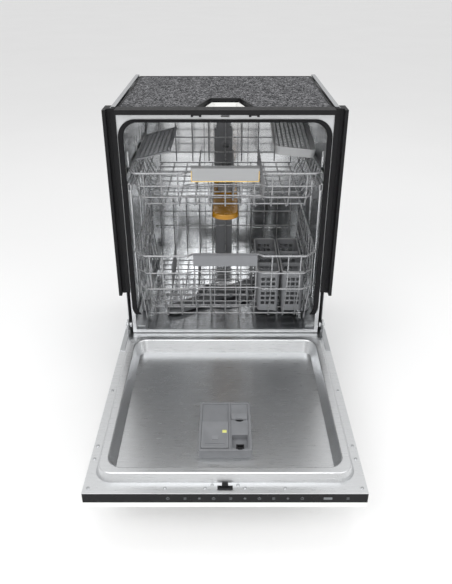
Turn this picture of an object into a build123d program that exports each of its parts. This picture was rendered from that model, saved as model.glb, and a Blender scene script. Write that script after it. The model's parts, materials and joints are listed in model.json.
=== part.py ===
"""Built-in dishwasher, 60 cm class, stored with its door open flat and both racks pushed in.

Millimetres, +Z up. X = 0 is the middle of the machine, Z = 0 the floor, and Y = 0 lies midway between
the door's far edge and the back. The front plane of the side strips is at Y = front_y.
"""

import os

from build123d import *

os.makedirs("parts", exist_ok=True)

# Overall size
front_y = 36.0  # front plane of the side strips; the y values below count from it
half_width = 299.0
top_z = 815.0
back_y = 520.0  # rear of the side panels
side_x = 283.0  # outer face of the side panels

# Tub
tub_x = 270.0
tub_top = 790.0
tub_back_y = 505.0
tub_front_y = 26.0
tub_floor_z = 168.0
tub_corner = 42.0
sheet = 1.5
opening_x = 255.0
sump_y = 250.0
duct_front_y = 474.0
track_z = 184.0

# Door, in its open position
pivot_y, pivot_z = 27.0, 193.0
pin_radius = 5.0
door_front_y, door_heel_y = -592.0, 58.0
door_x = 298.0
flange_z = 164.0
ridge_z = 184.0
recess_z = 149.0
ridge_front_y, ridge_back_y = -563.0, -18.0
panel_top_z, panel_bottom_z = 136.0, 120.0

# Racks, pushed in
upper_front_y, upper_depth = 18.0, 436.0
upper_rim_z, upper_floor_z = 652.0, 552.0
lower_front_y, lower_depth = -8.0, 472.0
lower_rim_z, lower_floor_z = 430.0, 195.0
rim_wire, rack_wire = 6.0, 4.0
wheel_radius, wheel_width = 17.0, 13.0
gap = 0.3
dock_z = 541.0  # height of the feed pipe that meets the duct


def keep(piece, name):
    """Labels a finished piece and writes its file."""
    piece.part.label = name
    export_step(piece.part, f"parts/{name}.step")


def block(x0, x1, y0, y1, z0, z1, mode=Mode.ADD):
    """Adds a box between two corners to the piece being built."""
    with Locations(((x0 + x1) / 2, front_y + (y0 + y1) / 2, (z0 + z1) / 2)):
        Box(x1 - x0, y1 - y0, z1 - z0, mode=mode)


def pole(x, y, z, radius, length, axis="Z", mode=Mode.ADD):
    """Adds a cylinder centred on a point, along one of the three axes."""
    turn = {"X": (0, 90, 0), "Y": (90, 0, 0), "Z": (0, 0, 0)}[axis]
    with Locations(Location((x, front_y + y, z), turn)):
        Cylinder(radius, length, mode=mode)


def wire(points, diameter, bend=12.0):
    """A round wire through points, its corners rounded at one radius."""
    points = [(x, front_y + y, z) for x, y, z in points]
    with BuildLine(mode=Mode.PRIVATE) as path:
        if len(points) > 2:
            FilletPolyline(*points, radius=bend)
        else:
            Line(*points)
    start = Plane(origin=path.line @ 0, z_dir=path.line % 0)
    with BuildSketch(start, mode=Mode.PRIVATE) as section:
        Circle(diameter / 2)
    return sweep(section.sketch, path=path.line, mode=Mode.PRIVATE)


def welded(wires):
    """Crossing wires joined into one grille."""
    with BuildPart() as grille:
        add(wires)
    return grille.part


def spread(low, high, count):
    """Evenly spaced values from low to high."""
    return [low + (high - low) * i / (count - 1) for i in range(count)]


# ---------------------------------------------------------------- base

with BuildPart() as levelling_feet:
    for x in (-250, 250):
        for y in (98, 485):
            pole(x, y, 4, 19, 8)
            pole(x, y, 18, 6, 20)
keep(levelling_feet, "levelling_feet")

with BuildPart() as base_tray:
    block(-280, 280, 76, 516, 28, 140)
    block(-276, 276, 80, 512, 32, 150, Mode.SUBTRACT)
    for x in (-276, 276):
        for y in spread(150, 450, 4):
            block(x - 4, x + 4, y - 3, y + 3, 32, 136)
    block(-272, 272, 513, 516, 136, 165.5)
    pole(-237, 514, 70, 24, 10, "Y", Mode.SUBTRACT)
keep(base_tray, "base_tray")

with BuildPart() as kick_plate:
    block(-279, 279, 73.5, 75, 30, 128)
    block(-279, 279, 64, 75, 128, 129.5)
keep(kick_plate, "kick_plate")

with BuildPart() as counterweight:
    block(-190, 190, 402, 498, 32, 98)
    fillet(counterweight.edges().filter_by(Axis.Z), 12)
keep(counterweight, "counterweight")

with BuildPart() as sump_bowl:
    pole(0, sump_y, 106, 78, 60)
    pole(0, sump_y, 78, 48, 24)
    pole(0, sump_y, 110, 74, 60, mode=Mode.SUBTRACT)
    pole(0, sump_y, 86, 44, 24, mode=Mode.SUBTRACT)
    pole(0, sump_y, 120, 10, 94)
keep(sump_bowl, "sump_bowl")

with BuildPart() as filter_assembly:
    pole(0, sump_y, 128, 46, 76)
    pole(0, sump_y, 134, 43, 76, mode=Mode.SUBTRACT)
    pole(0, sump_y, 92, 10.4, 20, mode=Mode.SUBTRACT)
    with Locations((0, front_y + sump_y, 165)):
        Cylinder(68, 3)
        Cylinder(43, 3, mode=Mode.SUBTRACT)
        with PolarLocations(56, 16):
            Cylinder(5, 6, mode=Mode.SUBTRACT)
keep(filter_assembly, "filter_assembly")

with BuildPart() as circulation_pump:
    pole(134, sump_y, 84, 42, 60, "X")
    pole(190, sump_y, 84, 34, 52, "X")
    pole(92, sump_y, 84, 18, 24, "X")
    block(112, 150, sump_y - 20, sump_y + 20, 33, 50)
keep(circulation_pump, "circulation_pump")

with BuildPart() as drain_pump:
    pole(-112, sump_y, 84, 24, 60, "X")
    pole(-112, sump_y - 40, 84, 10, 44, "Y")
    block(-126, -98, sump_y - 14, sump_y + 14, 33, 62)
keep(drain_pump, "drain_pump")

with BuildPart() as inlet_valve:
    block(-262, -212, 440, 488, 40, 96)
    pole(-237, 503.5, 70, 12, 31, "Y")
    pole(-237, 504, 70, 8, 31, "Y", mode=Mode.SUBTRACT)
keep(inlet_valve, "inlet_valve")

with BuildPart() as salt_container:
    block(-240, -150, 150, 330, 33, 120)
    fillet(salt_container.edges().filter_by(Axis.Z), 18)
    pole(-195, 200, 128, 26, 16)
keep(salt_container, "salt_container")

with BuildPart() as door_springs:
    for x in (-272, 272):
        pole(x, 150, 145 + 4, 3.5, 120, "Y")
        pole(x, 84, 149, 1.5, 12, "Y")
keep(door_springs, "door_springs")

# ---------------------------------------------------------------- tub

with BuildPart() as tub_wrapper:
    with BuildSketch(Plane.XZ.offset(-(front_y + tub_front_y))):
        outer_top = tub_top + sheet
        with Locations((0, (outer_top + 60) / 2)):
            RectangleRounded(2 * (tub_x + sheet), outer_top - 60, tub_corner + sheet)
        with Locations((0, (tub_top + 60) / 2)):
            RectangleRounded(2 * tub_x, tub_top - 60, tub_corner, mode=Mode.SUBTRACT)
        with Locations((0, 100)):
            Rectangle(2 * side_x, 140, mode=Mode.SUBTRACT)
    extrude(amount=-(tub_back_y - tub_front_y))
    for x in (-tub_x, tub_x):
        for y in (100, 160, 330, 440):
            pole(x, y, 440, 4, 460)
    for x in (-1, 1):
        block(x * 278 - 6.4, x * 278 + 6.4, 80, 480, 200, 700, Mode.SUBTRACT)
keep(tub_wrapper, "tub_wrapper")

with BuildPart() as tub_back:
    with BuildSketch(Plane.XZ.offset(-(front_y + tub_back_y))):
        with Locations((0, (tub_top + sheet + 40) / 2)):
            RectangleRounded(2 * (tub_x + sheet), tub_top + sheet - 40, tub_corner + sheet)
        with Locations((0, tub_floor_z / 2)):
            Rectangle(2 * side_x, tub_floor_z, mode=Mode.SUBTRACT)
    extrude(amount=-sheet)
    for x in (-70, -37, 41, 75):
        pole(x, tub_back_y, 470, 1.2, 560)
    for z in (236, 300):
        pole(0, tub_back_y, z, 1.2, 480, "X")
    block(-tub_x, tub_x, tub_back_y + sheet, tub_back_y + 9, tub_floor_z, tub_top, Mode.SUBTRACT)
keep(tub_back, "tub_back")

with BuildPart() as tub_floor:
    block(-tub_x, tub_x, tub_front_y, tub_back_y, tub_floor_z - 2, tub_floor_z)
    pole(0, sump_y, tub_floor_z, 96, 8, mode=Mode.SUBTRACT)
    with BuildSketch(Plane.XZ.offset(-(front_y + sump_y))):
        with BuildLine():
            Polyline((96.5, 168), (76, 138), (74, 138), (94.5, 168), (96.5, 168))
        make_face()
    revolve(axis=Axis((0, front_y + sump_y, 0), (0, 0, 1)))
keep(tub_floor, "tub_floor")

with BuildPart() as tub_front_frame:
    block(-272, 272, tub_front_y - 1.6, tub_front_y - 0.1, 166, 310)
    block(-281, 281, tub_front_y - 1.6, tub_front_y - 0.1, 303, 803)
    with BuildSketch(Plane.XZ.offset(-(front_y + tub_front_y + 5))):
        with Locations((0, 485)):
            RectangleRounded(522, 2 * (784 - 485), 36)
        with Locations((0, 250)):
            Rectangle(522, 2 * (250 - 176))
    extrude(amount=12, mode=Mode.SUBTRACT)
    block(-11, 11, 20, 27, 793, 801.5, Mode.SUBTRACT)
keep(tub_front_frame, "tub_front_frame")

with BuildPart() as tub_gasket:
    with BuildSketch(Plane.XZ.offset(-(front_y + tub_front_y - 1.7))):
        with Locations((0, 500)):
            RectangleRounded(536, 576, 44)
            RectangleRounded(2 * opening_x, 562, 38, mode=Mode.SUBTRACT)
        with Locations((0, 200)):
            Rectangle(560, 60, mode=Mode.SUBTRACT)
    extrude(amount=5.5)
    chamfer(tub_gasket.faces().sort_by(Axis.Y)[0].edges(), 1.2)
keep(tub_gasket, "tub_gasket")

with BuildPart() as lower_tracks:
    for side in (-1, 1):
        x0, x1 = sorted((side * 236, side * (tub_x - 4.5)))
        block(x0, x1, 34, 498, tub_floor_z + 0.1, track_z)
        x0, x1 = sorted((side * 238, side * (tub_x - 6.5)))
        block(x0, x1, 36, 496, tub_floor_z, track_z - 1.5, Mode.SUBTRACT)
keep(lower_tracks, "lower_tracks")

with BuildPart() as upper_rails_fixed:
    for side in (-1, 1):
        x0, x1 = sorted((side * 254.6, side * (tub_x - 4.3)))
        block(x0, x1, 44, 484, 598, 624)
        x0, x1 = sorted((side * 250, side * (tub_x - 6.3)))
        block(x0, x1, 42, 486, 600.5, 621.5, Mode.SUBTRACT)
keep(upper_rails_fixed, "upper_rails_fixed")

with BuildPart() as spray_duct:
    block(-34.5, 22.5, duct_front_y, tub_back_y - 1.4, 200, 656)
    block(-28, 16, duct_front_y, tub_back_y - 1.4, 650, 742)
    pole(-6, (duct_front_y + tub_back_y - 1.4) / 2, 742, 22, tub_back_y - 1.4 - duct_front_y, "Y")
    block(-24, 12, duct_front_y, duct_front_y + 5, 436, 540, Mode.SUBTRACT)
    block(-18, 6, duct_front_y, duct_front_y + 6, 446, 530)
    pole(3, duct_front_y, 603, 16, 6, "Y")
    pole(3, duct_front_y, 603, 10, 30, "Y", mode=Mode.SUBTRACT)
    pole(0, duct_front_y, dock_z, 9, 12, "Y", mode=Mode.SUBTRACT)
keep(spray_duct, "spray_duct")

with BuildPart() as lower_spray_arm:
    with BuildSketch(Plane.XY.offset(174)):
        with Locations(Location((0, front_y + sump_y), 35)):
            SlotOverall(430, 50)
            Circle(36)
    extrude(amount=12)
    fillet(lower_spray_arm.faces().sort_by(Axis.Z)[-1].edges(), 4)
    with Locations(Location((0, front_y + sump_y, 186), (0, 0, 35))):
        with Locations(*[(x, 8 * (-1) ** i, 0) for i, x in enumerate(spread(-190, 190, 12))]):
            Cylinder(3, 4, mode=Mode.SUBTRACT)
    pole(0, sump_y, 171, 22, 6)
keep(lower_spray_arm, "lower_spray_arm")

# ---------------------------------------------------------------- casing

for side, name in ((-1, "side_panel_left"), (1, "side_panel_right")):
    with BuildPart() as side_panel:
        x0, x1 = sorted((side * (side_x - sheet), side * side_x))
        block(x0, x1, 26, back_y, 24, top_z)
        block(x0 - 1, x1 + 1, 20, 60, 20, 164.4, Mode.SUBTRACT)
        block(x0, x1, 12, 28, 176, 212)
        x0, x1 = sorted((side * 272, side * side_x))
        block(x0, x1, 42, back_y, top_z - sheet, top_z)
        block(x0, x1, back_y - sheet, back_y, 150, top_z)
        pole(side * side_x, pivot_y, pivot_z, pin_radius, 12, "X", mode=Mode.SUBTRACT)
    keep(side_panel, name)

for side, name in ((-1, "side_strip_left"), (1, "side_strip_right")):
    with BuildPart() as side_strip:
        x0, x1 = sorted((side * 283.2, side * half_width))
        block(x0, x1, 0, 56, 303, top_z)
        x0, x1 = sorted((side * 283.2, side * 290.5))
        block(x0, x1, 0, 18, 303, top_z, Mode.SUBTRACT)
        x0, x1 = sorted((side * 270, side * 289))
        block(x0, x1, 20, 24.2, 303, top_z)
        fillet(side_strip.edges().filter_by(Axis.Z).group_by(Axis.Y)[0], 1.5)
    keep(side_strip, name)

with BuildPart() as top_crossbar:
    block(-269, 269, 1, 24.2, 803.2, top_z)
    block(-269, 269, 24, 40, 809, top_z)
    for x in (-71, 71):
        block(x - 13, x + 13, 3, 22, 798, 803.2)
        block(x - 7, x + 7, 1, 26, 790, 801, Mode.SUBTRACT)
keep(top_crossbar, "top_crossbar")

with BuildPart() as top_mat:
    with BuildSketch(Plane.XY.offset(tub_top + sheet + 0.5)):
        with Locations((0, front_y + (42 + back_y - 3) / 2)):
            RectangleRounded(2 * 270, back_y - 45, 4)
        with BuildLine():
            Polyline(
                (-78, front_y + 41),
                (78, front_y + 41),
                (40, front_y + 169),
                (-40, front_y + 169),
                (-78, front_y + 41),
            )
        make_face(mode=Mode.SUBTRACT)
    extrude(amount=18)
keep(top_mat, "top_mat")

with BuildPart() as latch_housing:
    block(-27, 27, 44, 120, tub_top + sheet + 0.3, 808)
    block(-19.5, 19.5, 26.5, 44, tub_top + sheet + 0.3, 802.8)
    block(-10, 10, 26, 112, 793.5, 801, Mode.SUBTRACT)
keep(latch_housing, "latch_housing")

with BuildPart() as latch_pusher:
    block(-9.6, 9.6, 26.6, 100, 794, 800.5)
    chamfer(latch_pusher.faces().sort_by(Axis.Y)[0].edges(), 1.5)
keep(latch_pusher, "latch_pusher")

with BuildPart() as hinge_pins:
    for side in (-1, 1):
        pole(side * 283, pivot_y, pivot_z, pin_radius, 16, "X")
        pole(side * 277, pivot_y, pivot_z, 9, 6, "X")
keep(hinge_pins, "hinge_pins")

# ---------------------------------------------------------------- door, open flat

ridge_mid_y = front_y + (ridge_front_y + ridge_back_y) / 2
ridge_length = ridge_back_y - ridge_front_y

with BuildPart() as door_liner:
    block(-door_x, door_x, door_front_y, door_heel_y, flange_z - 2, flange_z)
    with BuildSketch(Plane.XY.offset(flange_z - 1)):
        with Locations((0, ridge_mid_y)):
            RectangleRounded(560, ridge_length, 40)
    extrude(amount=ridge_z - flange_z + 1, taper=22)
    with BuildSketch(Plane.XY.offset(recess_z - 2)):
        with Locations((0, ridge_mid_y)):
            RectangleRounded(496, ridge_length - 64, 26)
    extrude(amount=16)
    with BuildSketch(Plane.XY.offset(ridge_z + 0.01)):
        with Locations((0, ridge_mid_y)):
            RectangleRounded(508, ridge_length - 50, 34)
    extrude(amount=recess_z - ridge_z, taper=20, mode=Mode.SUBTRACT)
    fillet(door_liner.faces().filter_by(Axis.Z).sort_by(Axis.Z)[-1].edges(), 3)
    with BuildSketch(Plane.XY.offset(flange_z - 3)):
        with Locations((0, ridge_mid_y)):
            RectangleRounded(550, ridge_length - 10, 36)
            RectangleRounded(514, ridge_length - 46, 36, mode=Mode.SUBTRACT)
    extrude(amount=19, taper=18, mode=Mode.SUBTRACT)
keep(door_liner, "door_liner")

with BuildPart() as door_outer_panel:
    block(-297, 297, -575.5, door_heel_y, panel_top_z + 0.2, flange_z - 2.1)
    block(-295.5, 295.5, -574, door_heel_y - 1.5, panel_top_z + 1.7, flange_z, Mode.SUBTRACT)
keep(door_outer_panel, "door_outer_panel")

with BuildPart() as door_sound_mat:
    block(-230, 230, -520, -60, panel_top_z + 1.8, recess_z - 2.3)
    fillet(door_sound_mat.edges().filter_by(Axis.Z), 20)
keep(door_sound_mat, "door_sound_mat")

with BuildPart() as furniture_panel:
    block(-door_x, door_x, door_front_y + 3, door_heel_y, panel_bottom_z, panel_top_z)
    chamfer(furniture_panel.faces().sort_by(Axis.Z)[0].edges(), 1)
keep(furniture_panel, "furniture_panel")

with BuildPart() as control_strip:
    block(-door_x, door_x, door_front_y, -576, panel_top_z + 0.2, flange_z - 2.1)
    fillet(control_strip.edges().filter_by(Axis.X).group_by(Axis.Y)[0], 2)
    block(-150, 150, -582, -576, 142, 158, Mode.SUBTRACT)
keep(control_strip, "control_strip")

with BuildPart() as control_board:
    block(-146, 146, -581.6, -577, 143, 145.4)
    for x in spread(-120, 120, 5):
        block(x - 9, x + 9, -581, -577.6, 145.4, 151)
keep(control_board, "control_board")

with BuildPart() as hinge_lugs:
    for side in (-1, 1):
        x0, x1 = sorted((side * 284.2, side * 297))
        block(x0, x1, -70, 42, flange_z, flange_z + 2.5)
        x0, x1 = sorted((side * 284.2, side * 287.2))
        block(x0, x1, 8, 42, flange_z, pivot_z)
        pole(side * 285.7, pivot_y, pivot_z, 15, 3, "X")
        pole(side * 285.7, pivot_y, pivot_z, pin_radius + 0.08, 9, "X", mode=Mode.SUBTRACT)
keep(hinge_lugs, "hinge_lugs")

with BuildPart() as door_latch:
    block(-16, 16, -582, -574.5, flange_z, flange_z + 4)
    block(-6.5, 6.5, -576, -566, flange_z, flange_z + 4)
    block(-11, 11, -580, -577, flange_z + 2, flange_z + 5, Mode.SUBTRACT)
keep(door_latch, "door_latch")

with BuildPart() as liner_screws:
    front = [(x, -578) for x in (-287, -126, -42, 42, 126, 287)]
    flanks = [(x, y) for x in (-289, 289) for y in (-493, -452, -250)]
    near_latch = [(-27, -569.5), (27, -569.5)]
    for x, y in front + flanks + near_latch:
        pole(x, y, flange_z + 0.9, 3.6, 1.8)
keep(liner_screws, "liner_screws")

with BuildPart() as dispenser_housing:
    block(-61, 61, -474, -304, recess_z + 0.1, 171)
    fillet(dispenser_housing.edges().filter_by(Axis.Z), 5)
    block(-55, 8, -468, -310, 168, 172, Mode.SUBTRACT)
    block(-50, 2, -462, -384, 152, 170, Mode.SUBTRACT)
    block(13, 55, -468, -310, 168, 172, Mode.SUBTRACT)
    pole(34, -361, 164, 13, 16, mode=Mode.SUBTRACT)
    block(16, 52, -462, -420, 155, 170, Mode.SUBTRACT)
    fillet(dispenser_housing.faces().sort_by(Axis.Z)[-1].edges(), 1)
keep(dispenser_housing, "dispenser_housing")

with BuildPart() as detergent_lid:
    block(-54.5, 7.5, -466, -378, 168.3, 172)
    fillet(detergent_lid.edges().filter_by(Axis.Z), 3)
    block(-46, 0, -460, -452, 171, 173, Mode.SUBTRACT)
    block(-30, -16, -440, -428, 172, 173.2)
keep(detergent_lid, "detergent_lid")

with BuildPart() as rinse_aid_lid:
    block(15, 53, -368, -348, 168.3, 171.5)
    fillet(rinse_aid_lid.edges().filter_by(Axis.Z), 3)
    block(28, 40, -368, -365, 171.5, 173.5)
keep(rinse_aid_lid, "rinse_aid_lid")

# ---------------------------------------------------------------- upper rack

u0 = upper_front_y
u1 = upper_front_y + upper_depth


def upper_side(side):
    """A long side: the rim, which steps up at the rear, two parallel wires and the uprights."""
    wires = [
        wire([(side * 247, u0 + 44, upper_rim_z), (side * 247, u1 - 76, upper_rim_z),
              (side * 245, u1 - 42, 690), (side * 245, u1 - 12, 690)], rim_wire, 14),
        wire([(side * 237.2, u0 + 44, 617), (side * 237.2, u1 - 14, 617)], rack_wire),
        wire([(side * 228.6, u0 + 44, 585), (side * 228.6, u1 - 14, 585)], rack_wire),
    ]
    for y in spread(u0 + 60, u1 - 84, 8):
        upright = [(side * 246.6, y, upper_rim_z), (side * 236, y, 592), (side * 216.5, y, 556)]
        wires.append(wire(upright, rack_wire, 18))
    return welded(wires)


def upper_front():
    """The front: rim and two wires, set back in the middle behind the handle, and the uprights."""
    wires = []
    for z, x, y, back, size in ((upper_rim_z, 247, 0, 16, rim_wire), (617, 237.2, 3.5, 15, rack_wire),
                                (585, 228.6, 9, 14, rack_wire)):
        near, far = u0 + y, u0 + y + back
        wires.append(wire([(-x, u0 + 43.5, z), (-x, near, z), (-110, near, z), (-93, far, z),
                           (93, far, z), (110, near, z), (x, near, z), (x, u0 + 43.5, z)],
                          size, (24, 10, 10, 10, 10, 24)))
    for x in (-212, -167, -123, 123, 167, 212):
        wires.append(wire([(x, u0 + 0.6, upper_rim_z), (x, u0 + 11.5, 590), (x, u0 + 31, 555)], rack_wire, 20))
    for x in (-77, -44, 0, 44, 77):
        wires.append(wire([(x, u0 + 16.6, upper_rim_z), (x, u0 + 25, 590), (x, u0 + 33, 555)], rack_wire, 20))
    return welded(wires)


def upper_back():
    """The back: a higher rim, two wires and the uprights."""
    wires = []
    for z, x, size in ((690, 245, rim_wire), (633, 238, rack_wire), (585, 228.6, rack_wire)):
        wires.append(wire([(-x, u1 - 11.5, z), (-x, u1, z), (x, u1, z), (x, u1 - 11.5, z)], size, 8))
    for x in spread(-212, 212, 9):
        wires.append(wire([(x, u1 - 0.6, 690), (x, u1 - 3.2, 640), (x, u1 - 3.2, 557)], rack_wire, 30))
    return welded(wires)


def upper_floor():
    """The floor: wires front to back under wires side to side."""
    wires = [wire([(x, u0 + 34, upper_floor_z), (x, u1 - 8, upper_floor_z)], rack_wire)
             for x in spread(-205, 205, 11)]
    wires += [wire([(-213, y, upper_floor_z + 3.2), (213, y, upper_floor_z + 3.2)], rack_wire)
              for y in spread(u0 + 42, u1 - 16, 9)]
    return welded(wires)


with BuildPart() as upper_rack_frame:
    add([upper_side(-1), upper_side(1), upper_front(), upper_back(), upper_floor()])
    for side in (-1, 1):
        x0, x1 = sorted((side * 244.8, side * 248.6))
        block(x0, x1, u0 + 8, u1 - 20, 603, 619)
        x0, x1 = sorted((side * 238.6, side * 245.5))
        for y in (u0 + 90, u0 + 210, u0 + 330):
            block(x0, x1, y - 7, y + 7, 607, 615)
    for x in (-82, 20.5, 102.5):
        add(wire([(x, u0 + 60, 559.3), (x, u1 - 40, 559.3)], rack_wire))
        for y in spread(u0 + 68, u1 - 52, 11):
            add(wire([(x, y, 559.3), (x + 5, y + 4, 606)], 3.4))
keep(upper_rack_frame, "upper_rack_frame")

with BuildPart() as upper_rack_handle:
    block(-88, 88, u0 - 4, u0 + 12.7, 631, 669)
    handle_top = upper_rack_handle.faces().sort_by(Axis.Z)[-1]
    chamfer(handle_top.edges().sort_by(Axis.Y)[0], 2.5, 9)
    block(-83, 83, u0 + 2, u0 + 14, 629, 660, Mode.SUBTRACT)
keep(upper_rack_handle, "upper_rack_handle")

with BuildPart() as upper_feed_pipe:
    pipe_end_y = duct_front_y - 0.8
    pole(0, (u0 + 222 + pipe_end_y) / 2, dock_z, 7, pipe_end_y - u0 - 222, "Y")
    pole(0, u0 + 222, dock_z + 0.4, 22, 16)
    pole(0, pipe_end_y - 6, dock_z, 7.8, 12, "Y")
    pole(0, pipe_end_y - 4, dock_z, 4.5, 30, "Y", mode=Mode.SUBTRACT)
keep(upper_feed_pipe, "upper_feed_pipe")

with BuildPart() as middle_spray_arm:
    with BuildSketch(Plane.XY.offset(514)):
        with Locations(Location((0, front_y + u0 + 222), 90)):
            SlotOverall(390, 74)
    extrude(amount=13, taper=8)
    fillet(middle_spray_arm.faces().sort_by(Axis.Z)[-1].edges(), 3)
    pole(0, u0 + 222, 527, 20, 12)
    for i, y in enumerate(spread(u0 + 50, u0 + 394, 10)):
        pole(16 * (-1) ** i, y, 527, 3, 6, mode=Mode.SUBTRACT)
keep(middle_spray_arm, "middle_spray_arm")

with BuildPart() as upper_rails_middle:
    for side in (-1, 1):
        x0, x1 = sorted((side * 249, side * 254.2))
        block(x0, x1, 28, 470, 601, 621)
        x0, x1 = sorted((side * 248, side * 252.6))
        block(x0, x1, 26, 472, 602.7, 619.3, Mode.SUBTRACT)
keep(upper_rails_middle, "upper_rails_middle")

# The cup shelf leans up towards the middle of the rack; the cutlery tray leans out and up to the rear
shelf_plane = Plane(origin=(-240, front_y + u0 + 70, 664), x_dir=(0.97, 0, 0.24), z_dir=(-0.24, 0, 0.97))
shelf_width, shelf_length = 98.0, 268.0

with BuildPart() as cup_shelf:
    with BuildSketch(shelf_plane):
        with Locations((shelf_width / 2, shelf_length / 2)):
            RectangleRounded(shelf_width, shelf_length, 8)
            with GridLocations(13.2, 16, 6, 15):
                RectangleRounded(9.6, 12, 1.5, mode=Mode.SUBTRACT)
    extrude(amount=3.2)
    with BuildSketch(shelf_plane):
        with Locations((shelf_width - 2, shelf_length / 2)):
            Rectangle(4, shelf_length - 20)
    extrude(amount=10)
keep(cup_shelf, "cup_shelf")

tray_plane = Plane(
    origin=(187, front_y + u0 + 270, 690), x_dir=(0.994, 0, -0.106), z_dir=(0.106, -0.095, 0.99)
)
tray_width, tray_length, tray_depth = 112.0, 378.0, 24.0

with BuildPart() as cutlery_tray:
    with BuildSketch(tray_plane):
        RectangleRounded(tray_width - 6, tray_length - 6, 12)
    extrude(amount=tray_depth, taper=-6)
    with BuildSketch(tray_plane.offset(2)):
        RectangleRounded(tray_width - 10, tray_length - 10, 10)
    extrude(amount=tray_depth, taper=-6, mode=Mode.SUBTRACT)
    with BuildSketch(tray_plane.offset(-1)):
        with GridLocations(12.5, 13, 8, 27):
            RectangleRounded(8.5, 9, 1.2)
    extrude(amount=4, mode=Mode.SUBTRACT)
keep(cutlery_tray, "cutlery_tray")

# ---------------------------------------------------------------- lower rack

l0 = lower_front_y
l1 = lower_front_y + lower_depth


def lower_side(side):
    """A long side: the rim, two parallel wires and uprights that lean in towards the floor."""
    wires = [
        wire([(side * 247, l0 + 42, lower_rim_z), (side * 247, l1 - 14, lower_rim_z)], rim_wire),
        wire([(side * 243.4, l0 + 42, 377), (side * 243.4, l1 - 14, 377)], rack_wire),
        wire([(side * 243.4, l0 + 42, 325), (side * 243.4, l1 - 14, 325)], rack_wire),
    ]
    for y in spread(l0 + 64, l1 - 30, 9):
        upright = [(side * 246.6, y, lower_rim_z), (side * 246.6, y, 318), (side * 232, y, 199)]
        wires.append(wire(upright, rack_wire, 40))
    wires.append(wire([(side * 234.4, l0 + 62, 240), (side * 234.4, l1 - 20, 240)], rack_wire))
    return welded(wires)


def lower_front():
    """The front: three wires with cut corners, set back behind the handle, and the uprights."""
    wires = []
    for z, y, back, x, size in ((lower_rim_z, 0, 12, 247, rim_wire), (377, 2.4, 11, 243.4, rack_wire),
                                (325, 8.3, 10, 243.4, rack_wire)):
        near, far = l0 + y, l0 + y + back
        wires.append(wire([(-x, l0 + 41.5, z), (-x, l0 + 33, z), (-x + 28, near, z), (-104, near, z),
                           (-90, far, z), (90, far, z), (104, near, z), (x - 28, near, z),
                           (x, l0 + 33, z), (x, l0 + 41.5, z)], size, (6, 10, 8, 8, 8, 8, 10, 6)))
    for x in (-206, -172, -128, 128, 172, 206):
        wires.append(wire([(x, l0 + 0.6, lower_rim_z), (x, l0 + 12.2, 322), (x, l0 + 82, 199)], rack_wire, 30))
    for x in (-85, -43, 0, 43, 85):
        wires.append(wire([(x, l0 + 12.6, lower_rim_z), (x, l0 + 22, 322), (x, l0 + 84, 199)], rack_wire, 30))
    return welded(wires)


def lower_back():
    """The back: three wires and the uprights."""
    wires = []
    for z, x, size in ((lower_rim_z, 247, rim_wire), (377, 243.4, rack_wire), (325, 243.4, rack_wire)):
        wires.append(wire([(-x, l1 - 13.5, z), (-x, l1, z), (x, l1, z), (x, l1 - 13.5, z)], size, 9))
    for x in spread(-222, 222, 11):
        wires.append(wire([(x, l1 - 0.6, lower_rim_z), (x, l1 - 3.2, 390), (x, l1 - 3.2, 201)], rack_wire, 30))
    return welded(wires)


def lower_floor():
    """The floor: wires front to back under wires side to side."""
    wires = [wire([(x, l0 + 87, lower_floor_z), (x, l1 - 8, lower_floor_z)], rack_wire)
             for x in spread(-215, 215, 11)]
    wires += [wire([(-228, y, lower_floor_z + 3.2), (228, y, lower_floor_z + 3.2)], rack_wire)
              for y in spread(l0 + 92, l1 - 16, 11)]
    return welded(wires)


with BuildPart() as lower_rack_frame:
    add([lower_side(-1), lower_side(1), lower_front(), lower_back(), lower_floor()])
    for x in (-172, -86, 0, 86):
        add(wire([(x, l0 + 250, 202.4), (x, l1 - 30, 202.4)], rack_wire))
        for y in spread(l0 + 258, l1 - 38, 7):
            add(wire([(x, y, 202.4), (x, y + 12, 268)], 3.6))
keep(lower_rack_frame, "lower_rack_frame")

with BuildPart() as lower_rack_handle:
    block(-87, 87, l0 - 4, l0 + 8.7, 402, 434.5)
    chamfer(lower_rack_handle.faces().sort_by(Axis.Z)[-1].edges().sort_by(Axis.Y)[0], 2.5, 9)
    block(-82, 82, l0 + 2, l0 + 10, 400, 427, Mode.SUBTRACT)
keep(lower_rack_handle, "lower_rack_handle")

fold_z = 204.5

for name, y in (("tine_row_front", l0 + 128), ("tine_row_rear", l0 + 196)):
    with BuildPart() as tine_row:
        add(wire([(-214, y, fold_z), (74, y, fold_z)], rack_wire))
        for x in spread(-198, 66, 9):
            add(wire([(x, y, fold_z), (x, y, 262)], 3.6))
    keep(tine_row, name)

basket_y0, basket_y1 = l0 + 93, l0 + 337
basket_z0, basket_z1 = 205.0, 335.0

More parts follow.
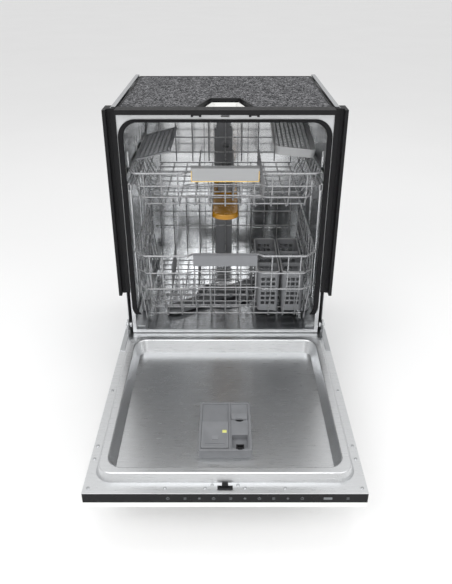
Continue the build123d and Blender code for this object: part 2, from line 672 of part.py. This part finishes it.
for name, x0, x1 in (("cutlery_basket_left", 92.5, 160), ("cutlery_basket_right", 165, 232.6)):
    mid = (x0 + x1) / 2
    centre_y = front_y + (basket_y0 + basket_y1) / 2
    with BuildPart() as cutlery_basket:
        with BuildSketch(Plane.XY.offset(basket_z1)):
            with Locations((mid, centre_y)):
                RectangleRounded(x1 - x0, basket_y1 - basket_y0, 14)
        extrude(amount=basket_z0 - basket_z1, taper=1.4)
        with BuildSketch(Plane.XY.offset(basket_z1 + 0.01)):
            with Locations((mid, centre_y)):
                RectangleRounded(x1 - x0 - 5, basket_y1 - basket_y0 - 5, 12)
        extrude(amount=basket_z0 - basket_z1 + 3, taper=1.4, mode=Mode.SUBTRACT)
        block(mid - 30, mid + 30, basket_y0 + 78, basket_y0 + 80.5, basket_z0 + 2, basket_z1 - 8)
        block(mid - 30, mid + 30, basket_y0 + 160, basket_y0 + 162.5, basket_z0 + 2, basket_z1 - 8)
        with Locations(Location((mid, centre_y, basket_z0 + 66), (90, 0, 0))):
            with GridLocations(15, 16, 3, 6):
                Box(11.5, 10.5, 300, mode=Mode.SUBTRACT)
        with Locations(Location((mid, centre_y, basket_z0 + 66), (0, 90, 0))):
            with GridLocations(16, 16.4, 6, 13):
                Box(10.5, 12, 90, mode=Mode.SUBTRACT)
    keep(cutlery_basket, name)

wheel_x, wheel_z = 246.75, track_z + gap + wheel_radius
wheel_ys = {"front": l0 + 133, "rear": l1 - 56}

with BuildPart() as lower_wheel_mounts:
    for side in (-1, 1):
        for y in wheel_ys.values():
            x0, x1 = sorted((side * 229.9, side * 238.4))
            block(x0, x1, y - 13, y + 13, wheel_z - 14, wheel_z + 12)
            pole(side * 244, y, wheel_z, 4, 18, "X")
keep(lower_wheel_mounts, "lower_wheel_mounts")

for side, hand in ((-1, "left"), (1, "right")):
    for place, y in wheel_ys.items():
        with BuildPart() as wheel:
            pole(side * wheel_x, y, wheel_z, wheel_radius, wheel_width, "X")
            pole(side * wheel_x, y, wheel_z, 4.08, 30, "X", mode=Mode.SUBTRACT)
            fillet(wheel.edges().filter_by(GeomType.CIRCLE).group_by(SortBy.RADIUS)[-1], 1.5)
            with Locations(Location((side * wheel_x, front_y + y, wheel_z), (0, 90, 0))):
                with PolarLocations(10.5, 6):
                    Cylinder(2.6, 30, mode=Mode.SUBTRACT)
        keep(wheel, f"wheel_{place}_{hand}")
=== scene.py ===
import json
import math

import bmesh
import bpy
from mathutils import Matrix, Vector, noise


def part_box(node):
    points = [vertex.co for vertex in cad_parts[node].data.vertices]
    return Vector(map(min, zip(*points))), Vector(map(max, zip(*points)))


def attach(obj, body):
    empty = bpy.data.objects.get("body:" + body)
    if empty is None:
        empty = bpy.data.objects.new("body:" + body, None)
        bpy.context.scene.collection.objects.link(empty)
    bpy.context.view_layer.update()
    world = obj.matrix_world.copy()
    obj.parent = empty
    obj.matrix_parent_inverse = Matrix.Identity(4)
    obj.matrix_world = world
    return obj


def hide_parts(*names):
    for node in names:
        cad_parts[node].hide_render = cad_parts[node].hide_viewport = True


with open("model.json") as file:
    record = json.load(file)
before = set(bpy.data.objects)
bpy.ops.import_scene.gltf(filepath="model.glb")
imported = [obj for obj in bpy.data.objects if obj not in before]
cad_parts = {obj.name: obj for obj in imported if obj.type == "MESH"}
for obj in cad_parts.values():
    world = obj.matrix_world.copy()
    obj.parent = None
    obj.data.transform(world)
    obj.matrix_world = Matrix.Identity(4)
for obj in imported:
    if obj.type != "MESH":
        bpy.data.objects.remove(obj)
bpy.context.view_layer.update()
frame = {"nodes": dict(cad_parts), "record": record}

MM = 0.001


# ---------------------------------------------------------------- materials

def surface(name, colour, rough, metal=0.0, vary=0.06, scale=30.0, stretch=(1, 1, 1), rough_vary=0.06,
            bump=0.08, bump_scale=600.0, wear=0.0, coat=0.0, sheen=0.0, specular=0.5):
    """A principled surface whose colour, roughness and height vary, with lighter worn edges if asked for."""
    made = bpy.data.materials.new(name)
    made.use_nodes = True
    nodes, links = made.node_tree.nodes, made.node_tree.links
    shader = nodes["Principled BSDF"]
    shader.inputs["Metallic"].default_value = metal
    shader.inputs["Coat Weight"].default_value = coat
    shader.inputs["Sheen Weight"].default_value = sheen
    shader.inputs["Specular IOR Level"].default_value = specular
    place = nodes.new("ShaderNodeTexCoord")
    turn = nodes.new("ShaderNodeMapping")
    turn.inputs["Scale"].default_value = stretch
    links.new(place.outputs["Object"], turn.inputs["Vector"])

    def cloud(size, detail):
        made_noise = nodes.new("ShaderNodeTexNoise")
        made_noise.inputs["Scale"].default_value = size
        made_noise.inputs["Detail"].default_value = detail
        links.new(turn.outputs["Vector"], made_noise.inputs["Vector"])
        return made_noise.outputs["Fac"]

    tint = nodes.new("ShaderNodeValToRGB")
    tint.color_ramp.elements[0].position = 0.3
    tint.color_ramp.elements[1].position = 0.7
    tint.color_ramp.elements[0].color = (*[c * (1 - vary) for c in colour], 1)
    tint.color_ramp.elements[1].color = (*[min(1.0, c * (1 + vary)) for c in colour], 1)
    links.new(cloud(scale, 6.0), tint.inputs["Fac"])
    out = tint.outputs["Color"]
    if wear:
        edges = nodes.new("ShaderNodeNewGeometry")
        mask = nodes.new("ShaderNodeMapRange")
        mask.inputs["From Min"].default_value = 0.52
        mask.inputs["From Max"].default_value = 0.62
        mask.inputs["To Max"].default_value = wear
        links.new(edges.outputs["Pointiness"], mask.inputs["Value"])
        rub = nodes.new("ShaderNodeMix")
        rub.data_type = "RGBA"
        links.new(mask.outputs["Result"], rub.inputs["Factor"])
        links.new(out, rub.inputs["A"])
        rub.inputs["B"].default_value = (*[min(1.0, c * 1.5 + 0.08) for c in colour], 1)
        out = rub.outputs["Result"]
    links.new(out, shader.inputs["Base Color"])
    gloss = nodes.new("ShaderNodeMapRange")
    gloss.inputs["From Min"].default_value = 0.3
    gloss.inputs["From Max"].default_value = 0.7
    gloss.inputs["To Min"].default_value = max(0.03, rough - rough_vary)
    gloss.inputs["To Max"].default_value = min(1.0, rough + rough_vary)
    links.new(cloud(scale * 2.3, 4.0), gloss.inputs["Value"])
    links.new(gloss.outputs["Result"], shader.inputs["Roughness"])
    relief = nodes.new("ShaderNodeBump")
    relief.inputs["Strength"].default_value = bump
    relief.inputs["Distance"].default_value = 0.0006
    links.new(cloud(bump_scale, 3.0), relief.inputs["Height"])
    links.new(relief.outputs["Normal"], shader.inputs["Normal"])
    return made


finishes = {
    "tub_steel": dict(colour=(0.70, 0.71, 0.72), rough=0.22, metal=1.0, vary=0.04, scale=7,
                      stretch=(1, 1, 14), rough_vary=0.05, bump=0.005, bump_scale=90),
    "stainless": dict(colour=(0.68, 0.69, 0.70), rough=0.3, metal=1.0, vary=0.025, scale=10,
                      stretch=(1, 42, 42), rough_vary=0.04, bump=0.006, bump_scale=60),
    "black_trim": dict(colour=(0.006, 0.006, 0.007), rough=0.45, metal=0, vary=0.2, scale=40, bump=0.1,
                       bump_scale=900, wear=0.03, specular=0.2),
    "grey_steel": dict(colour=(0.42, 0.43, 0.44), rough=0.36, metal=0.75, vary=0.07, scale=9, wear=0.15),
    "base_moulding": dict(colour=(0.03, 0.03, 0.033), rough=0.5, metal=0, vary=0.15, scale=25, bump=0.2,
                          bump_scale=700, wear=0.1),
    "seal": dict(colour=(0.006, 0.006, 0.007), rough=0.6, metal=0, vary=0.2, scale=60, bump=0.15,
                 bump_scale=1200, specular=0.2),
    "duct_grey": dict(colour=(0.20, 0.205, 0.215), rough=0.38, metal=0, vary=0.08, scale=30, bump=0.12,
                      bump_scale=800, wear=0.25),
    "arm_amber": dict(colour=(0.42, 0.20, 0.012), rough=0.24, metal=0.25, vary=0.1, scale=20, bump=0.05,
                      wear=0.5, coat=0.4),
    "arm_grey": dict(colour=(0.11, 0.115, 0.12), rough=0.4, metal=0, vary=0.08, scale=30, bump=0.12,
                     wear=0.25),
    "rack_wire": dict(colour=(0.35, 0.355, 0.365), rough=0.3, metal=0.45, vary=0.06, scale=50, bump=0.06,
                      bump_scale=500, coat=0.15),
    "handle_satin": dict(colour=(0.27, 0.275, 0.28), rough=0.34, metal=0.4, vary=0.04, scale=10,
                         stretch=(1, 12, 12), rough_vary=0.05, bump=0.05, bump_scale=300, wear=0.4),
    "light_grey": dict(colour=(0.34, 0.345, 0.35), rough=0.4, metal=0, vary=0.05, scale=40, bump=0.12,
                       bump_scale=900, wear=0.3),
    "mid_grey": dict(colour=(0.17, 0.175, 0.185), rough=0.42, metal=0, vary=0.06, scale=40, bump=0.14,
                     bump_scale=900, wear=0.25),
    "control_black": dict(colour=(0.003, 0.003, 0.004), rough=0.3, metal=0, vary=0.1, scale=15,
                          rough_vary=0.04, bump=0.02, specular=0.22),
    "front_board": dict(colour=(0.80, 0.80, 0.79), rough=0.35, metal=0, vary=0.03, scale=8, bump=0.05,
                        bump_scale=300, coat=0.2),
    "bright_screw": dict(colour=(0.42, 0.43, 0.44), rough=0.34, metal=1.0, vary=0.08, scale=200, bump=0.1,
                         wear=0.2),
    "iron": dict(colour=(0.09, 0.09, 0.095), rough=0.7, metal=0.3, vary=0.2, scale=60, bump=0.5,
                 bump_scale=350),
    "pump_body": dict(colour=(0.08, 0.08, 0.09), rough=0.5, metal=0, vary=0.1, scale=40, bump=0.2),
    "white_moulding": dict(colour=(0.74, 0.74, 0.72), rough=0.42, metal=0, vary=0.03, scale=40, bump=0.12,
                           wear=0.1),
    "circuit": dict(colour=(0.02, 0.15, 0.06), rough=0.3, metal=0, vary=0.1, scale=80, bump=0.1),
    "basket_grey": dict(colour=(0.20, 0.205, 0.215), rough=0.42, metal=0, vary=0.05, scale=40, bump=0.12,
                        bump_scale=900, wear=0.3),
    "frame_light": dict(colour=(0.58, 0.59, 0.60), rough=0.34, metal=0.6, vary=0.04, scale=12, wear=0.1),
    "gilt": dict(colour=(0.80, 0.56, 0.20), rough=0.22, metal=1.0, vary=0.06, scale=20, bump=0.03),
    "print": dict(colour=(0.16, 0.17, 0.18), rough=0.5, metal=0, vary=0.05, scale=300, bump=0.02),
    "lens": dict(colour=(0.62, 0.62, 0.20), rough=0.3, metal=0, vary=0.05, scale=200, bump=0.03, coat=0.3),
}
looks = {name: surface(name, **finish) for name, finish in finishes.items()}


def felt_material():
    """Pressed melange felt: matt fibres in several greys, with a coarse nap."""
    made = surface("felt", (0.085, 0.086, 0.09), 0.95, 0, 0.5, 420, rough_vary=0.04, bump=0.7,
                   bump_scale=420, sheen=0.04, specular=0.1)
    nodes, links = made.node_tree.nodes, made.node_tree.links
    shader = nodes["Principled BSDF"]
    fibres = nodes.new("ShaderNodeTexNoise")
    fibres.inputs["Scale"].default_value = 105
    fibres.inputs["Detail"].default_value = 9
    fibres.inputs["Distortion"].default_value = 2.2
    place = nodes.new("ShaderNodeTexCoord")
    links.new(place.outputs["Object"], fibres.inputs["Vector"])
    ramp = nodes.new("ShaderNodeValToRGB")
    ramp.color_ramp.elements[0].position = 0.42
    ramp.color_ramp.elements[0].color = (0.010, 0.010, 0.012, 1)
    ramp.color_ramp.elements[1].position = 0.60
    ramp.color_ramp.elements[1].color = (0.24, 0.24, 0.25, 1)
    middle = ramp.color_ramp.elements.new(0.51)
    middle.color = (0.055, 0.056, 0.06, 1)
    links.new(fibres.outputs["Fac"], ramp.inputs["Fac"])
    links.new(ramp.outputs["Color"], shader.inputs["Base Color"])
    return made


looks["felt"] = felt_material()

slot_of = {part["node"]: part["material_slot"] for part in frame["record"]["subparts"]}
own_look = {"cutlery_basket_left": "basket_grey", "cutlery_basket_right": "basket_grey",
            "cup_shelf": "basket_grey", "tub_front_frame": "frame_light"}
for node, shape in frame["nodes"].items():
    shape.data.materials.clear()
    shape.data.materials.append(looks[own_look.get(node, slot_of[node])])


# ---------------------------------------------------------------- helpers for pieces

def piece(name, mesh, body, look):
    """A finished mesh as a piece that rides on a body."""
    made = bpy.data.objects.new(name, mesh)
    bpy.context.collection.objects.link(made)
    mesh.materials.append(looks[look])
    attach(made, body)
    return made


def mesh_of(name, shape, smooth=True):
    """Turns a bmesh into a mesh."""
    bmesh.ops.recalc_face_normals(shape, faces=shape.faces)
    mesh = bpy.data.meshes.new(name)
    shape.to_mesh(mesh)
    shape.free()
    if smooth:
        for face in mesh.polygons:
            face.use_smooth = True
        mesh.set_sharp_from_angle(angle=math.radians(35))
    return mesh


def add_bar(shape, low, high, round_by, turn=None):
    """Adds a box with rounded edges to a bmesh, turned about its own middle if asked for."""
    low, high = Vector(low), Vector(high)
    got = bmesh.ops.create_cube(shape, size=1.0)
    verts = got["verts"]
    bmesh.ops.scale(shape, vec=high - low, verts=verts)
    edges = list({edge for vert in verts for edge in vert.link_edges})
    made = bmesh.ops.bevel(shape, geom=edges, offset=round_by, segments=3, profile=0.5, affect="EDGES")
    verts = list({v for f in made["faces"] for v in f.verts} | {v for v in verts if v.is_valid})
    if turn is not None:
        bmesh.ops.rotate(shape, cent=(0, 0, 0), matrix=turn, verts=verts)
    bmesh.ops.translate(shape, vec=(low + high) / 2, verts=verts)


def close_rings(shape, rings):
    """Joins rings of vertices with faces and closes both ends."""
    for below, above in zip(rings, rings[1:]):
        for k in range(len(below)):
            after = (k + 1) % len(below)
            shape.faces.new((below[k], below[after], above[after], above[k]))
    shape.faces.new(rings[0][::-1])
    shape.faces.new(rings[-1])


def lathe(shape, centre, profile, steps=28, axis="Z"):
    """Adds a closed turned shape; the profile is (radius, height) from one end of its axis to the other."""
    turn = {"Z": Matrix.Identity(3), "Y": Matrix.Rotation(math.radians(90), 3, "X"),
            "X": Matrix.Rotation(math.radians(90), 3, "Y")}[axis]
    rings = []
    for radius, height in profile:
        ring = []
        for k in range(steps):
            angle = 2 * math.pi * k / steps
            point = Vector((radius * math.cos(angle), radius * math.sin(angle), height))
            ring.append(shape.verts.new(Vector(centre) + turn @ point))
        rings.append(ring)
    close_rings(shape, rings)


def settled_mesh(holder):
    """Links an object, takes its mesh with its modifiers or bevel applied, and removes the object."""
    bpy.context.collection.objects.link(holder)
    bpy.context.view_layer.update()
    mesh = bpy.data.meshes.new_from_object(holder.evaluated_get(bpy.context.evaluated_depsgraph_get()))
    bpy.data.objects.remove(holder)
    return mesh


def tube(name, points, radius, body, look, closed=False):
    """A smooth tube along points, as a mesh."""
    line = bpy.data.curves.new(name + "_line", "CURVE")
    line.dimensions = "3D"
    spline = line.splines.new("POLY")
    spline.points.add(len(points) - 1)
    for spot, point in zip(spline.points, points):
        spot.co = (*point, 1)
    spline.use_cyclic_u = closed
    line.bevel_depth = radius
    line.bevel_resolution = 4
    line.use_fill_caps = not closed
    mesh = settled_mesh(bpy.data.objects.new(name + "_line", line))
    mesh.materials.clear()
    for face in mesh.polygons:
        face.use_smooth = True
    return piece(name, mesh, body, look)


def rounded_loop(x0, x1, y0, y1, z, radius, steps=7):
    """Points round a rectangle with rounded corners, at one height."""
    points = []
    for cx, cy, start in ((x1 - radius, y1 - radius, 0), (x0 + radius, y1 - radius, 90),
                          (x0 + radius, y0 + radius, 180), (x1 - radius, y0 + radius, 270)):
        for k in range(steps + 1):
            angle = math.radians(start + 90 * k / steps)
            points.append((cx + radius * math.cos(angle), cy + radius * math.sin(angle), z))
    return points


# ---------------------------------------------------------------- felt mat on the roof

low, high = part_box("top_mat")
copy = bpy.data.objects.new("felt_source", frame["nodes"]["top_mat"].data.copy())
voxels = copy.modifiers.new("voxels", "REMESH")
voxels.mode = "VOXEL"
voxels.voxel_size = 0.004
felt_mesh = settled_mesh(copy)
for vert in felt_mesh.vertices:
    soft = noise.noise(vert.co * 22) * 0.0011 + noise.noise(vert.co * 130) * 0.0006
    vert.co.z = min(vert.co.z + soft - 0.0006, high.z)
for face in felt_mesh.polygons:
    face.use_smooth = True
felt_mesh.materials.clear()
roof_felt = piece("roof_felt", felt_mesh, "cabinet", "felt")
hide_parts("top_mat")

edging = bmesh.new()
rim = 5 * MM
top = high.z + 0.6 * MM
edge_round = 0.8 * MM
mouth = 79 * MM     # half the cut-out's width at the felt's front
throat = 42 * MM    # half its width at the back
throat_near, throat_far = low.y + 126 * MM, low.y + 131 * MM
for x0, x1 in ((low.x, low.x + rim), (high.x - rim, high.x)):
    add_bar(edging, (x0, low.y, low.z), (x1, high.y, top), edge_round)
add_bar(edging, (low.x, high.y - rim, low.z), (high.x, high.y, top), edge_round)
add_bar(edging, (low.x, low.y, low.z), (-mouth, low.y + rim, top), edge_round)
add_bar(edging, (mouth, low.y, low.z), (high.x, low.y + rim, top), edge_round)
add_bar(edging, (-throat, throat_near, low.z), (throat, throat_far, top), edge_round)
lean = math.atan2(38, 128)
for side in (-1, 1):
    middle = Vector((side * 60 * MM, low.y + 63.5 * MM, (low.z + top) / 2))
    half = Vector((rim / 2, 66 * MM, (top - low.z) / 2))
    add_bar(edging, middle - half, middle + half, edge_round, Matrix.Rotation(side * lean, 3, "Z"))
piece("roof_felt_edging", mesh_of("roof_felt_edging", edging), "cabinet", "black_trim")

plate = bmesh.new()
deck = low.z + 9 * MM
corners = ((-70, 4), (70, 4), (37, 120), (-37, 120))
centre_y = 62
chamfer = 1.2 * MM
inner = 0.975    # the top face's share of the plate's outline
rings = [[plate.verts.new((x * MM * k, low.y + (centre_y + (y - centre_y) * k) * MM, z)) for x, y in corners]
         for k, z in ((1, low.z), (1, deck - chamfer), (inner, deck))]
close_rings(plate, rings)
for side in (-1, 1):
    rib = side * 45 * MM
    add_bar(plate, (rib - 3 * MM, low.y + 10 * MM, deck),
            (rib + 3 * MM, low.y + 52 * MM, deck + 2.4 * MM), 0.9 * MM)
add_bar(plate, (-30 * MM, low.y + 84 * MM, deck), (30 * MM, low.y + 92 * MM, deck + 3 * MM), 1 * MM)
piece("latch_plate", mesh_of("latch_plate", plate), "cabinet", "white_moulding")

# ---------------------------------------------------------------- clips that hold the folding tine rows

for place in ("front", "rear"):
    low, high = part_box(f"tine_row_{place}")
    axle_y, axle_z = high.y - 2 * MM, low.z + 2 * MM
    barrel = [(2.4 * MM, -4.5 * MM), (3.6 * MM, -3.6 * MM), (3.6 * MM, 3.6 * MM), (2.4 * MM, 4.5 * MM)]
    clips = bmesh.new()
    for x in (-182, -83, 17, 70):
        lathe(clips, (x * MM, axle_y, axle_z), barrel, axis="X")
        add_bar(clips, ((x - 3) * MM, axle_y - 5 * MM, axle_z - 6.6 * MM),
                ((x + 3) * MM, axle_y + 5 * MM, axle_z - 2.4 * MM), 0.8 * MM)
    piece(f"tine_clips_{place}", mesh_of(f"tine_clips_{place}", clips), "lower_rack", "mid_grey")

# ---------------------------------------------------------------- upper handle's gilt edge

low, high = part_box("upper_rack_handle")
gilt = bmesh.new()
line = 2.2 * MM
front = low.y - 0.5 * MM
for x0, x1 in ((low.x, low.x + line), (high.x - line, high.x)):
    add_bar(gilt, (x0, front, low.z), (x1, low.y + 3 * MM, high.z - 9 * MM), 0.4 * MM)
add_bar(gilt, (low.x, front, low.z - 0.4 * MM), (high.x, low.y + 3 * MM, low.z + line), 0.4 * MM)
piece("upper_handle_gilt", mesh_of("upper_handle_gilt", gilt), "upper_rack", "gilt")

# ---------------------------------------------------------------- control strip print

low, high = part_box("control_strip")
marks = bmesh.new()
level = (low.z + high.z) / 2
face_y = low.y - 0.15 * MM


def mark_ring(x, radius, thick):
    """A thin ring standing on the strip's front face."""
    steps = 26
    for k in range(steps):
        spots = []
        for angle, r in ((k, radius), (k + 1, radius), (k + 1, radius - thick), (k, radius - thick)):
            turned = 2 * math.pi * angle / steps
            spots.append(marks.verts.new((x + r * math.cos(turned), face_y, level + r * math.sin(turned))))
        marks.faces.new(spots)


def mark_bar(x0, x1, z0, z1):
    """A flat dash on the strip's front face."""
    spots = [marks.verts.new((x, face_y, level + z)) for x, z in ((x0, z0), (x1, z0), (x1, z1), (x0, z1))]
    marks.faces.new(spots)


span = high.x - low.x
for i, share in enumerate((0.30, 0.36, 0.41, 0.46, 0.52, 0.57, 0.62, 0.67, 0.72, 0.77, 0.93)):
    x = low.x + span * share
    if i % 3 == 0:
        mark_ring(x, 3.4 * MM, 0.7 * MM)
        mark_bar(x - 0.4 * MM, x + 0.4 * MM, 0, 4.4 * MM)
    elif i % 3 == 1:
        for z in (-2.4, 0, 2.4):
            mark_bar(x - 3 * MM, x + 3 * MM, (z - 0.35) * MM, (z + 0.35) * MM)
    else:
        mark_ring(x, 2.6 * MM, 0.6 * MM)
        mark_ring(x, 1.2 * MM, 1.2 * MM)
mark_bar(low.x + span * 0.845, low.x + span * 0.875, -3.2 * MM, 3.2 * MM)
bmesh.ops.remove_doubles(marks, verts=marks.verts, dist=1e-6)
bmesh.ops.recalc_face_normals(marks, faces=marks.faces)
grown = bmesh.ops.extrude_face_region(marks, geom=marks.faces[:])
bmesh.ops.translate(marks, vec=(0, 0.25 * MM, 0),
                    verts=[v for v in grown["geom"] if isinstance(v, bmesh.types.BMVert)])
piece("control_marks", mesh_of("control_marks", marks, smooth=False), "door", "print")

# ---------------------------------------------------------------- basket rims

for hand in ("left", "right"):
    low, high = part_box(f"cutlery_basket_{hand}")
    inset = 1.4 * MM
    rim_z, corner = high.z - 0.4 * MM, 13 * MM
    loop = rounded_loop(low.x + inset, high.x - inset, low.y + inset, high.y - inset, rim_z, corner)
    tube(f"basket_rim_{hand}", loop, 2.3 * MM, "lower_rack", "light_grey", closed=True)

# ---------------------------------------------------------------- screws with cross recesses

low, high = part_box("liner_screws")
spots = {}
for vert in frame["nodes"]["liner_screws"].data.vertices:
    near = next((c for c in spots if (Vector(c) - Vector((vert.co.x, vert.co.y))).length < 9 * MM), None)
    spots.setdefault(near or (vert.co.x, vert.co.y), []).append(vert.co)
head = [(3.6 * MM, 0), (3.6 * MM, 0.7 * MM), (3.1 * MM, 1.4 * MM), (2.0 * MM, 1.75 * MM)]
heads = bmesh.new()
for points in spots.values():
    x = (min(p.x for p in points) + max(p.x for p in points)) / 2
    y = (min(p.y for p in points) + max(p.y for p in points)) / 2
    lathe(heads, (x, y, low.z), head)
    for turn in (0.4, 0.4 + math.pi / 2):
        add_bar(heads, (x - 1.6 * MM, y - 0.3 * MM, high.z - 0.1 * MM),
                (x + 1.6 * MM, y + 0.3 * MM, high.z + 0.1 * MM), 0.08 * MM, Matrix.Rotation(turn, 3, "Z"))
screws = piece("liner_screw_heads", mesh_of("liner_screw_heads", heads), "door", "bright_screw")
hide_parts("liner_screws")

# ---------------------------------------------------------------- dispenser details

low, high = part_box("detergent_lid")
deck = low.z + 3.7 * MM
lens = bmesh.new()
add_bar(lens, (high.x - 14 * MM, low.y + 49 * MM, deck - 0.6 * MM),
        (high.x - 4 * MM, low.y + 58 * MM, deck + 0.6 * MM), 0.4 * MM)
piece("lid_marker", mesh_of("lid_marker", lens), "detergent_lid", "lens")

low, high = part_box("dispenser_housing")
catch = bmesh.new()
middle_x = high.x - 27 * MM
front_bar, back_bar, thumb_tab = (-9, 9, 6, 9.5, 1.6), (-9, 9, 14, 17, 2.6), (-5, 5, 2.5, 6.5, 1.2)
left_arm, right_arm = (-9, -6, 6, 17, 2.2), (6, 9, 6, 17, 2.2)
for x0, x1, y0, y1, z1 in (front_bar, left_arm, right_arm, back_bar, thumb_tab):
    add_bar(catch, (middle_x + x0 * MM, low.y + y0 * MM, high.z - 3.4 * MM),
            (middle_x + x1 * MM, low.y + y1 * MM, high.z + z1 * MM), 0.5 * MM)
piece("dispenser_catch", mesh_of("dispenser_catch", catch), "door", "black_trim")

# ---------------------------------------------------------------- stage, lights, camera

floor_mesh = bmesh.new()
bmesh.ops.create_grid(floor_mesh, x_segments=2, y_segments=2, size=40)
floor = bpy.data.objects.new("floor", mesh_of("floor", floor_mesh, smooth=False))
bpy.context.collection.objects.link(floor)
floor.data.materials.append(surface("floor", (0.86, 0.86, 0.86), 0.7, vary=0.01, scale=1.2, bump=0.0))

world = bpy.data.worlds.new("studio")
bpy.context.scene.world = world
world.use_nodes = True
sky, sky_links = world.node_tree.nodes, world.node_tree.links
place = sky.new("ShaderNodeTexCoord")
split = sky.new("ShaderNodeSeparateXYZ")
rise = sky.new("ShaderNodeMapRange")
rise.inputs["From Min"].default_value = 0.0
rise.inputs["From Max"].default_value = 0.75
rise.inputs["To Min"].default_value = 0.46
rise.inputs["To Max"].default_value = 0.95
sky_links.new(place.outputs["Generated"], split.inputs["Vector"])
sky_links.new(split.outputs["Z"], rise.inputs["Value"])
sky_links.new(rise.outputs["Result"], sky["Background"].inputs["Color"])
backdrop = sky.new("ShaderNodeBackground")
backdrop.inputs["Color"].default_value = (0.93, 0.93, 0.93, 1)
path = sky.new("ShaderNodeLightPath")
choose = sky.new("ShaderNodeMixShader")
sky_links.new(path.outputs["Is Camera Ray"], choose.inputs["Fac"])
sky_links.new(sky["Background"].outputs["Background"], choose.inputs[1])
sky_links.new(backdrop.outputs["Background"], choose.inputs[2])
sky_links.new(choose.outputs["Shader"], sky["World Output"].inputs["Surface"])


def lamp(name, place, aim, size, watts):
    """A soft square light aimed at a point."""
    light = bpy.data.lights.new(name, "AREA")
    light.size = size
    light.energy = watts
    made = bpy.data.objects.new(name, light)
    made.location = place
    made.rotation_euler = (Vector(aim) - Vector(place)).to_track_quat("-Z", "Y").to_euler()
    bpy.context.collection.objects.link(made)


lamp("key", (-1.6, -2.2, 2.6), (0, 0, 0.4), 1.6, 30)
lamp("fill", (1.9, -1.8, 1.9), (0, 0, 0.4), 1.6, 14)
lamp("front", (0, -2.6, 1.5), (0, 0.3, 0.5), 1.0, 15)
lamp("top", (0, 0.2, 3.0), (0, 0, 0.5), 1.8, 16)

camera = bpy.data.objects.new("camera", bpy.data.cameras.new("camera"))
camera.data.sensor_width = 36
camera.data.lens = 37.5
camera.location = (0.002, -1.461, 1.135)
camera.rotation_euler = (math.radians(61.3), 0, 0)
camera.data.clip_end = 200
bpy.context.collection.objects.link(camera)
bpy.context.scene.camera = camera
bpy.context.scene.view_settings.view_transform = "Standard"
